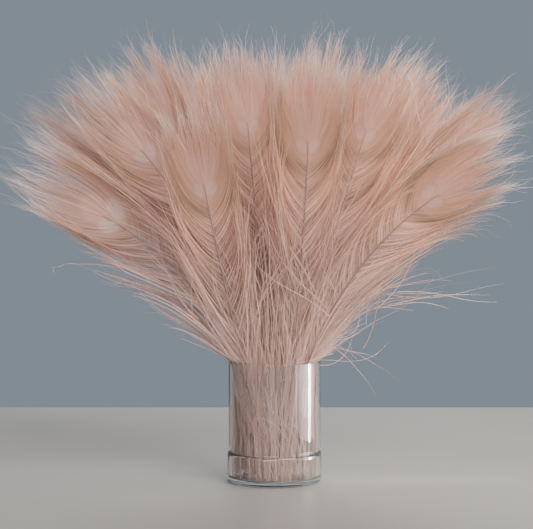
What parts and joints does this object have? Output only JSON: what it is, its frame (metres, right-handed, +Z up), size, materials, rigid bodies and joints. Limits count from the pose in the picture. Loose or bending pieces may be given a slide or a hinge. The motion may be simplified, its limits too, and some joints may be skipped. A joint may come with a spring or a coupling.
{
  "type": "bunch of peacock feathers in a glass vase",
  "caption": "Round bunch of dyed peacock eye feathers fanning out of a small clear glass cylinder vase with a thick moulded foot.",
  "frame": {"origin": "centre of the vase's flat underside, on the surface it stands on", "axes": "+Z up along the vase's axis, -Y towards the side of the bunch whose eyes show, +X to that side's right"},
  "size_m": [0.3823, 0.2591, 0.3227],
  "materials": {
    "glass": "clear, smooth",
    "feather": "soft, silky, dyed dusty blush pink"
  },
  "bodies": {
    "root": {"vase": "glass", "front_feather_1": "feather", "front_feather_2": "feather", "front_feather_3": "feather", "front_feather_4": "feather", "front_feather_5": "feather", "front_feather_6": "feather", "front_feather_7": "feather", "front_feather_8": "feather", "middle_feather_1": "feather", "middle_feather_2": "feather", "middle_feather_3": "feather", "middle_feather_4": "feather", "middle_feather_5": "feather", "middle_feather_6": "feather", "near_back_feather_1": "feather", "near_back_feather_2": "feather", "near_back_feather_3": "feather", "near_back_feather_4": "feather", "near_back_feather_5": "feather", "near_back_feather_6": "feather", "near_back_feather_7": "feather", "far_back_feather_1": "feather", "far_back_feather_2": "feather", "far_back_feather_3": "feather", "far_back_feather_4": "feather", "far_back_feather_5": "feather", "far_back_feather_6": "feather", "back_feather_1": "feather", "back_feather_2": "feather", "back_feather_3": "feather", "back_feather_4": "feather", "back_feather_5": "feather"}
  },
  "joints": []
}
